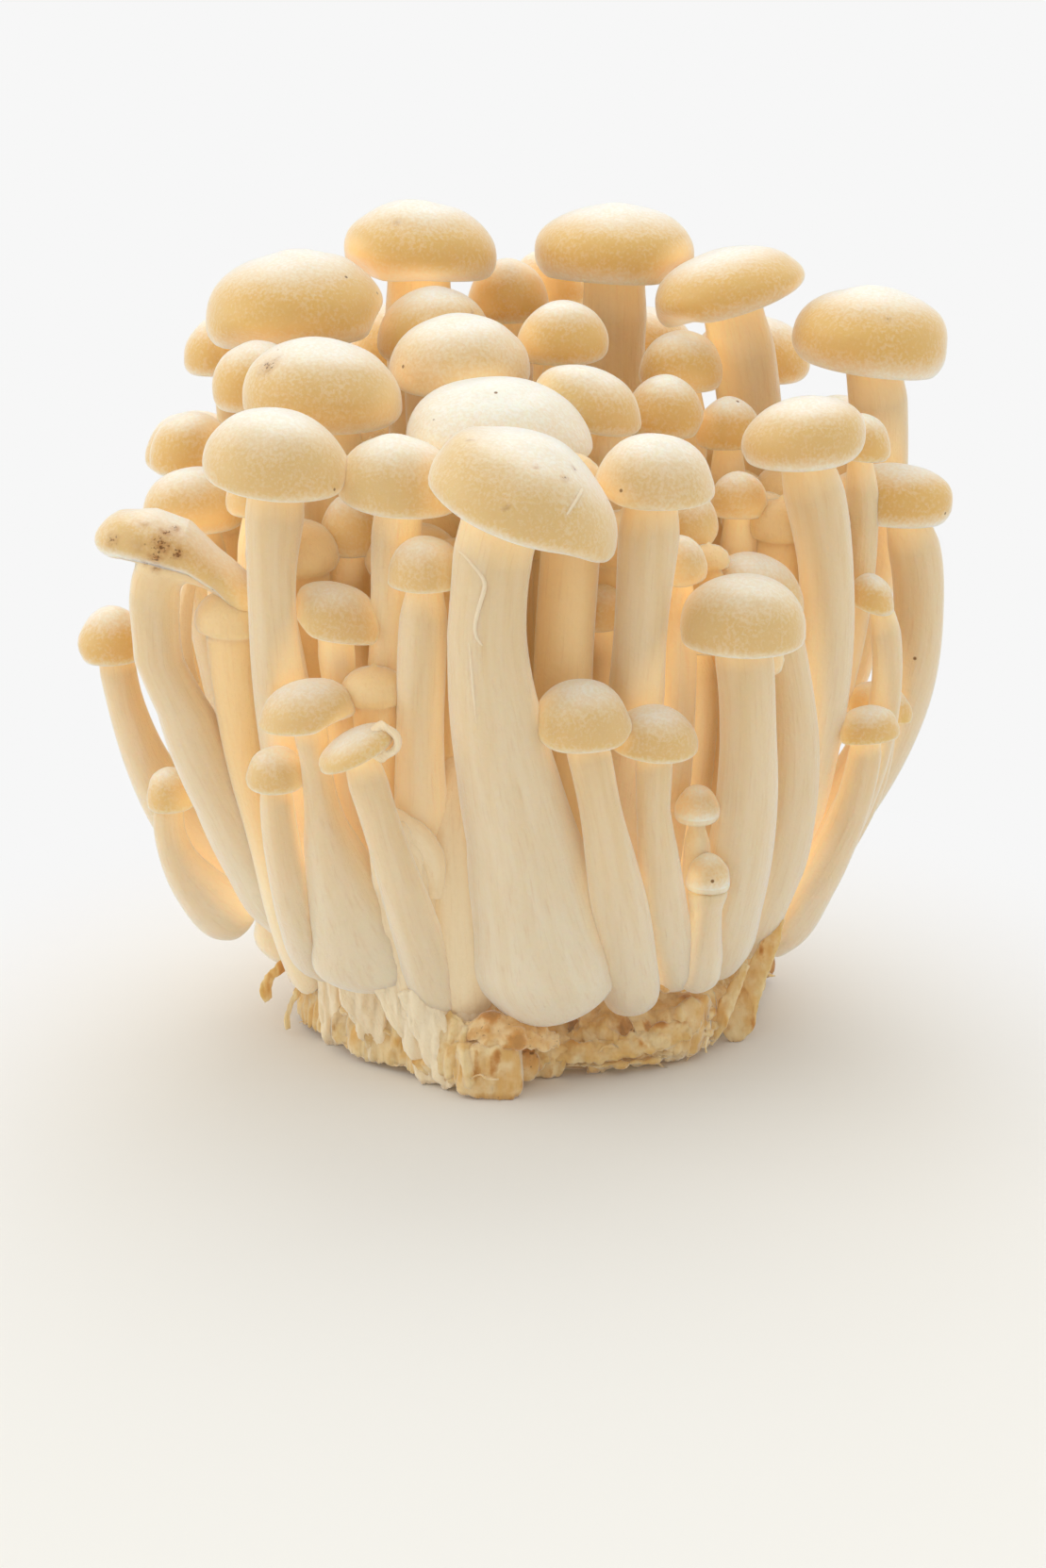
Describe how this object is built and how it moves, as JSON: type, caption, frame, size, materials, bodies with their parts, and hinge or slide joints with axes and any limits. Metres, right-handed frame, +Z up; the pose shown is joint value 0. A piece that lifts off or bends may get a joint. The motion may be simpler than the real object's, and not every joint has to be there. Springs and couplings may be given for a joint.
{
  "type": "white shimeji mushroom bunch",
  "caption": "Bunch of pale small-capped mushrooms on slender stems, grown from one torn root mass that is cut flat below and stands on a table.",
  "frame": {"origin": "middle of the flat cut face under the root mass", "axes": "+Z up out of the cut face, -Y towards the front of the bunch, where the thickest mushroom stands, +X to the right seen from the front"},
  "size_m": [0.1223, 0.1128, 0.1112],
  "materials": {
    "mushroom_flesh": "smooth matt mushroom skin, finely pebbled on the caps and finely fibrous on the stems",
    "root_mycelium": "rough torn fibrous mycelium with yellow-brown stains"
  },
  "bodies": {
    "root": {"front_giant": "mushroom_flesh", "front_tall": "mushroom_flesh", "front_right": "mushroom_flesh", "front_low_left": "mushroom_flesh", "front_low_right": "mushroom_flesh", "twin_front": "mushroom_flesh", "twin_back": "mushroom_flesh", "right_tall": "mushroom_flesh", "right_peeping": "mushroom_flesh", "right_outer": "mushroom_flesh", "right_broad": "mushroom_flesh", "right_slim": "mushroom_flesh", "right_low_front": "mushroom_flesh", "right_low_back": "mushroom_flesh", "left_large": "mushroom_flesh", "left_inner": "mushroom_flesh", "left_inner_low": "mushroom_flesh", "left_slender": "mushroom_flesh", "left_club": "mushroom_flesh", "left_curled": "mushroom_flesh", "left_stub": "mushroom_flesh", "left_bent": "mushroom_flesh", "left_upper": "mushroom_flesh", "left_upper_front": "mushroom_flesh", "left_shoulder": "mushroom_flesh", "left_outer": "mushroom_flesh", "left_low": "mushroom_flesh", "crown_left": "mushroom_flesh", "crown_left_back": "mushroom_flesh", "crown_front": "mushroom_flesh", "crown_middle": "mushroom_flesh", "crown_front_right": "mushroom_flesh", "crown_centre": "mushroom_flesh", "crown_high_left": "mushroom_flesh", "crown_great_left": "mushroom_flesh", "crown_lobe": "mushroom_flesh", "crown_back_middle": "mushroom_flesh", "crown_back": "mushroom_flesh", "crown_high_right": "mushroom_flesh", "crown_right": "mushroom_flesh", "crown_inner_right": "mushroom_flesh", "crown_inner_back": "mushroom_flesh", "inner_right_high": "mushroom_flesh", "inner_right_mid": "mushroom_flesh", "inner_right_front": "mushroom_flesh", "inner_right_low": "mushroom_flesh", "inner_front_low": "mushroom_flesh", "inner_front_mid": "mushroom_flesh", "inner_left_mid": "mushroom_flesh", "rear_left_outer": "mushroom_flesh", "rear_left": "mushroom_flesh", "rear_left_inner": "mushroom_flesh", "rear_middle": "mushroom_flesh", "rear_right_inner": "mushroom_flesh", "rear_right": "mushroom_flesh", "rear_right_outer": "mushroom_flesh", "rear_low_left": "mushroom_flesh", "rear_low_right": "mushroom_flesh", "rear_low_outer": "mushroom_flesh", "root_mass": "root_mycelium"}
  },
  "joints": []
}
